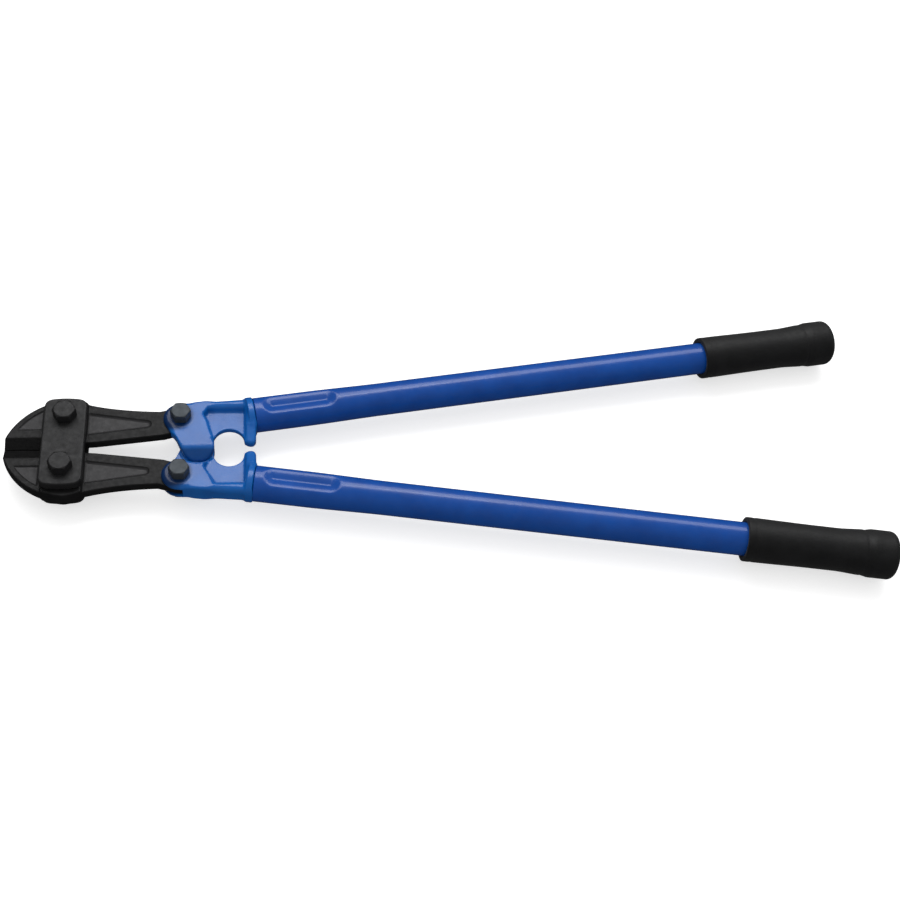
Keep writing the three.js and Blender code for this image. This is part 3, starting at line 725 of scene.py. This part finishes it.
def to_row(vertices):
    """Millimetres in the tool's frame as metres in the row frame."""
    return vertices * MM + np.array([TIP_X, 0, MID_Z])


def turned_over(vertices):
    return vertices * np.array([1, -1, -1])


def along_handle(vertices):
    """A shape along +Z laid on the upper handle's axis."""
    across, height, along = vertices[:, 0], vertices[:, 1], vertices[:, 2]
    cos, sin = HANDLE_DIRECTION
    x = HANDLE_START[0] + along * cos - across * sin
    y = HANDLE_START[1] + along * sin + across * cos
    return np.stack([x, y, height], axis=1)


def standing_at(vertices, x, y):
    return vertices + np.array([x, y, 0])


def piece(name, shape, body, material, finish=None):
    """A smooth mesh object that stands for the CAD node of the same name.

    finish holds values for each vertex that the material reads.
    """
    vertices, faces = shape
    mesh = bpy.data.meshes.new(name)
    mesh.from_pydata(to_row(vertices).tolist(), [], faces.tolist())
    for key, values in (finish or {}).items():
        mesh.attributes.new(key, "FLOAT", "POINT").data.foreach_set("value", values.astype(np.float32))
    mesh.polygons.foreach_set("use_smooth", [True] * len(mesh.polygons))
    mesh.materials.append(material)
    mesh.update()
    obj = bpy.data.objects.new(name + "_look", mesh)
    bpy.context.scene.collection.objects.link(obj)
    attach(obj, body)
    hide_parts(name)
    return obj


# ------------------------------------------------------------------ materials


class Nodes:
    """A small helper that adds linked nodes to a material."""

    def __init__(self, name):
        self.material = bpy.data.materials.new(name)
        self.material.use_nodes = True
        self.tree = self.material.node_tree
        self.shader = self.tree.nodes["Principled BSDF"]
        self.coordinates = self.tree.nodes.new("ShaderNodeTexCoord").outputs["Object"]

    def node(self, kind, inputs=None, **settings):
        node = self.tree.nodes.new(kind)
        for key, value in settings.items():
            setattr(node, key, value)
        for key, value in (inputs or {}).items():
            self.feed(node.inputs[key], value)
        return node

    def feed(self, socket, value):
        if isinstance(value, bpy.types.NodeSocket):
            self.tree.links.new(value, socket)
        else:
            socket.default_value = value

    def noise(self, scale, detail=3.0, roughness=0.55, stretch=None):
        vector = self.coordinates
        if stretch:
            vector = self.node("ShaderNodeMapping", {"Vector": vector, "Scale": stretch}).outputs[0]
        inputs = {"Vector": vector, "Scale": scale, "Detail": detail, "Roughness": roughness}
        return self.node("ShaderNodeTexNoise", inputs).outputs["Fac"]

    def ramp(self, value, low, high, to_low=0.0, to_high=1.0):
        inputs = {"Value": value, "From Min": low, "From Max": high, "To Min": to_low, "To Max": to_high}
        return self.node("ShaderNodeMapRange", inputs).outputs[0]

    def mix(self, share, a, b):
        node = self.node("ShaderNodeMix", data_type="RGBA")
        self.feed(node.inputs[0], share)
        self.feed(node.inputs[6], a)
        self.feed(node.inputs[7], b)
        return node.outputs[2]

    def bump(self, height, strength, distance, normal=None):
        inputs = {"Height": height, "Strength": strength, "Distance": distance}
        if normal is not None:
            inputs["Normal"] = normal
        return self.node("ShaderNodeBump", inputs).outputs[0]

    def set(self, **values):
        for key, value in values.items():
            self.feed(self.shader.inputs[key.replace("_", " ")], value)

    def attribute(self, name):
        return self.node("ShaderNodeAttribute", attribute_name=name).outputs["Fac"]

    def edges(self, low, high):
        """0 on flat ground, 1 on sharp outer edges."""
        return self.ramp(self.node("ShaderNodeNewGeometry").outputs["Pointiness"], low, high)


def blue_paint(name, deep, bright, peel, lumps, with_painted_shade=False):
    """Glossy blue paint; with painted shade, a piece is darker and less glossy where its vertices say so.
    """
    n = Nodes(name)
    cloud = n.ramp(n.noise(45.0), 0.35, 0.65)
    base = n.mix(cloud, (*deep, 1), (*bright, 1))
    n.set(Roughness=n.ramp(n.noise(160.0), 0.3, 0.7, 0.32, 0.46))
    n.set(Specular_IOR_Level=0.35, Coat_Weight=0.8, Coat_Roughness=0.17, Coat_IOR=1.5)
    if with_painted_shade:
        # painted shade: the base colour darkened and the coat thinned where the vertices ask for it
        painted_shade = n.attribute("painted_shade")
        base = n.mix(painted_shade, base, (0.0, 0.012, 0.06, 1))
        n.set(Coat_Weight=n.ramp(painted_shade, 0, 1, 0.8, 0.25))
    n.set(Base_Color=base)
    normal = n.bump(n.noise(330.0, 2.0), lumps, 0.0006)
    normal = n.bump(n.noise(1100.0, 2.0), peel, 0.00012, normal)
    n.set(Normal=normal, Coat_Normal=normal)
    return n.material


def black_steel(name, dark, light, roughness, grain, forged=False):
    """Blackened steel; a forged piece is paler in its recesses and has painted shade on its ground bevel.
    """
    n = Nodes(name)
    mottle = n.ramp(n.noise(90.0, 5.0, 0.65), 0.3, 0.7)
    worn = n.edges(0.53, 0.62)
    base = n.mix(mottle, (*dark, 1), (*light, 1))
    if forged:
        base = n.mix(n.attribute("recess"), base, (*[2.7 * c for c in light], 1))
    base = n.mix(worn, base, (*[2.2 * c for c in light], 1))
    # painted shade: the ground bevel darkened
    if forged:
        base = n.mix(n.attribute("bevel"), base, (*[0.3 * c for c in dark], 1))
    n.set(Base_Color=base)
    n.set(Metallic=0.3, Specular_IOR_Level=0.35)
    n.set(Roughness=n.ramp(n.noise(240.0, 4.0), 0.3, 0.7, roughness - 0.08, roughness + 0.1))
    normal = n.bump(n.noise(420.0, 4.0, 0.6), grain, 0.0004)
    normal = n.bump(n.noise(1500.0, 2.0), 0.25, 0.0001, normal)
    n.set(Normal=normal)
    return n.material


def rubber(name):
    n = Nodes(name)
    mottle = n.ramp(n.noise(70.0, 4.0), 0.3, 0.7)
    n.set(Base_Color=n.mix(mottle, (0.006, 0.0062, 0.0068, 1), (0.0105, 0.0108, 0.0118, 1)))
    n.set(Roughness=n.ramp(n.noise(300.0, 4.0), 0.3, 0.7, 0.5, 0.62))
    n.set(Specular_IOR_Level=0.45, Sheen_Weight=0.08, Sheen_Roughness=0.5)
    cells = n.node("ShaderNodeTexVoronoi", {"Vector": n.coordinates, "Scale": 1300.0})
    normal = n.bump(cells.outputs["Distance"], 0.35, 0.0002)
    normal = n.bump(n.noise(60.0, 2.0), 0.3, 0.0006, normal)
    n.set(Normal=normal)
    return n.material


# ------------------------------------------------------------------ the tool

# Size of the cells that each kind of field is meshed in, mm
CAST_STEP = 0.4
JAW_STEP = 0.46
PLATE_STEP = 0.8 * CAST_STEP
HARDWARE_STEP = 0.28

# The castings' paint carries painted shade on the ears and below the knuckles.
CASTING_BLUE = blue_paint(
    "blue_casting", deep=(0.0, 0.105, 0.43), bright=(0.0, 0.13, 0.5), peel=0.3, lumps=0.35, with_painted_shade=True,
)
TUBE_BLUE = blue_paint(
    "blue_tube", deep=(0.0, 0.066, 0.36), bright=(0.0, 0.078, 0.41), peel=0.15, lumps=0.08,
)
# The jaws' steel carries painted shade on the ground bevel.
JAW_BLACK = black_steel(
    "forged_jaw", dark=(0.009, 0.009, 0.0095), light=(0.017, 0.0167, 0.0175),
    roughness=0.47, grain=0.55, forged=True,
)
PLATE_BLACK = black_steel(
    "dark_plate", dark=(0.019, 0.019, 0.02), light=(0.03, 0.03, 0.031), roughness=0.46, grain=0.4,
)
BOLT_BLACK = black_steel(
    "dark_bolt", dark=(0.016, 0.016, 0.017), light=(0.028, 0.028, 0.029), roughness=0.42, grain=0.25,
)
BOLT_GREY = black_steel(
    "grey_bolt", dark=(0.044, 0.053, 0.062), light=(0.066, 0.078, 0.09), roughness=0.4, grain=0.25,
)
RUBBER = rubber("grip_rubber")


def build_halves():
    """Jaw, handle head, tube and grip of both halves."""
    jaw, jaw_faces = surface(*jaw_shape(JAW_STEP))
    jaw_values = jaw_finish_and_shade(jaw)
    x, y, z, casting = casting_shape(CAST_STEP)
    heads = {
        "upper": surface(x, y, z, blind_pin_hole(x, y, z, casting)),
        "lower": surface(x, y, z, loose_pin_hole(x, y, z, casting)),
    }
    tube, tube_faces = tube_shape()
    grip, grip_faces = grip_shape()
    tube, grip = along_handle(tube), along_handle(grip)
    for side, place in (("upper", lambda v: v), ("lower", turned_over)):
        jaw_lever, handle = side + "_jaw_lever", side + "_handle"
        head, head_faces = heads[side]
        # painted shade on the casting's ear and below its knuckle
        painted_shade = casting_painted_shade(head)
        piece(side + "_jaw", (place(jaw), jaw_faces), jaw_lever, JAW_BLACK, jaw_values)
        piece(side + "_handle_head", (place(head), head_faces), handle, CASTING_BLUE, painted_shade)
        piece(side + "_handle_tube", (place(tube), tube_faces), handle, TUBE_BLUE)
        piece(side + "_grip", (place(grip), grip_faces), handle, RUBBER)


def build_plates():
    vertices, faces = surface(*plate_shape(PLATE_STEP))
    piece("front_plate", (vertices, faces), "plates", PLATE_BLACK)
    piece("rear_plate", (turned_over(vertices), faces), "plates", PLATE_BLACK)


def build_fasteners():
    """The two plate bolts and the two tail bolts with their washers and nuts."""
    sets = (
        ("plate", PLATE_BOLT, PLATE_PIVOT, "dark_bolt", BOLT_BLACK),
        ("tail", TAIL_BOLT, TAIL_PIVOT, "grey_bolt", BOLT_GREY),
    )
    for place, spec, pivot, slot_name, material in sets:
        low, top = (tool(corner)[2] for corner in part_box(f"upper_{place}_bolt"))
        seat = (PLATE_HIGH[2] if place == "plate" else CASTING_HALF) + 0.1
        bolt = surface(*bolt_shape(HARDWARE_STEP, spec, low, seat, top))
        nut_low, nut_high = (tool(corner)[2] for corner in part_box(f"upper_{place}_nut"))
        nut = surface(*nut_shape(HARDWARE_STEP, spec, nut_low, nut_high))
        washer_low, washer_high = (tool(corner)[2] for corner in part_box(f"upper_{place}_washer"))
        washer = washer_shape(spec, washer_low, washer_high)
        for side, sign in (("upper", 1), ("lower", -1)):
            body = "plates" if place == "plate" else side + "_handle"
            for part, (vertices, faces) in (("bolt", bolt), ("nut", nut), ("washer", washer)):
                shape = (standing_at(vertices, pivot[0], sign * pivot[1]), faces)
                piece(f"{side}_{place}_{part}", shape, body, material)


def build_pin():
    vertices, faces = pin_shape()
    shape = (standing_at(vertices, *CENTRE_PIVOT), faces)
    piece("centre_pin", shape, "upper_handle", CASTING_BLUE)


# ------------------------------------------------------------------ stage, light and camera


def build_stage():
    """A pale floor, lit a little from within so that it stays white round the tool."""
    half = 6.0
    mesh = bpy.data.meshes.new("floor")
    corners = [(-half, -half, 0), (half, -half, 0), (half, half, 0), (-half, half, 0)]
    mesh.from_pydata(corners, [], [(0, 1, 2, 3)])
    floor = bpy.data.objects.new("floor", mesh)
    bpy.context.scene.collection.objects.link(floor)
    n = Nodes("floor")
    n.set(Base_Color=(0.8, 0.8, 0.8, 1), Roughness=0.9, Specular_IOR_Level=0.1)
    n.set(Emission_Color=(1, 1, 1, 1), Emission_Strength=0.6)
    mesh.materials.append(n.material)
    floor.visible_glossy = False
    floor.visible_diffuse = False


def area_light(name, location, target, size, power):
    light = bpy.data.lights.new(name, "AREA")
    light.shape = "RECTANGLE"
    light.size, light.size_y = size
    light.energy = power
    obj = bpy.data.objects.new(name, light)
    obj.location = location
    obj.rotation_euler = (Vector(target) - Vector(location)).to_track_quat("-Z", "Y").to_euler()
    bpy.context.scene.collection.objects.link(obj)


def build_light():
    """A white sky that the tool hardly mirrors, and two softboxes, behind it and over it."""
    world = bpy.data.worlds.new("studio")
    world.use_nodes = True
    nodes, links = world.node_tree.nodes, world.node_tree.links
    background = nodes["Background"]
    background.inputs["Color"].default_value = (1, 1, 1, 1)
    rays = nodes.new("ShaderNodeLightPath")
    height = nodes.new("ShaderNodeSeparateXYZ")
    links.new(nodes.new("ShaderNodeTexCoord").outputs["Generated"], height.inputs[0])
    lit = nodes.new("ShaderNodeMapRange")
    lit.inputs["From Min"].default_value = -1
    lit.inputs["To Min"].default_value = SKY_BELOW
    lit.inputs["To Max"].default_value = SKY_ABOVE
    links.new(height.outputs["Z"], lit.inputs["Value"])
    strength = lit.outputs[0]
    for ray, value in (("Is Camera Ray", SKY_SEEN), ("Is Glossy Ray", SKY_MIRRORED)):
        choice = nodes.new("ShaderNodeMix")
        choice.inputs[3].default_value = value
        links.new(rays.outputs[ray], choice.inputs[0])
        links.new(strength, choice.inputs[2])
        strength = choice.outputs[0]
    links.new(strength, background.inputs["Strength"])
    bpy.context.scene.world = world
    area_light("back_softbox", (0.15, 1.1, 1.6), (0, 0, 0), (2.4, 0.9), 17)
    area_light("top_softbox", (-0.3, 0.75, 2.1), (0, 0, 0), (1.6, 0.5), 6)
    bpy.context.scene.view_settings.view_transform = "Standard"


def build_camera():
    """The camera looks down at the tool from its lower side, rolled about its own axis."""
    elevation, azimuth, roll = (math.radians(a) for a in (VIEW_ELEVATION, VIEW_AZIMUTH, VIEW_ROLL))
    back = Vector((
        math.sin(azimuth) * math.cos(elevation),
        -math.cos(azimuth) * math.cos(elevation),
        math.sin(elevation),
    ))
    level = (-back).cross(Vector((0, 0, 1))).normalized()
    upright = level.cross(-back)
    right = level * math.cos(roll) + upright * math.sin(roll)
    up = upright * math.cos(roll) - level * math.sin(roll)
    data = bpy.data.cameras.new("camera")
    data.sensor_width = SENSOR_WIDTH
    data.lens = LENS
    data.clip_start = 0.01
    camera = bpy.data.objects.new("camera", data)
    placed = Matrix((right, up, back)).transposed().to_4x4()
    placed.translation = Vector(VIEW_TARGET) + back * VIEW_DISTANCE
    camera.matrix_world = placed
    bpy.context.scene.collection.objects.link(camera)
    bpy.context.scene.camera = camera


build_halves()
build_plates()
build_fasteners()
build_pin()
build_stage()
build_light()
build_camera()
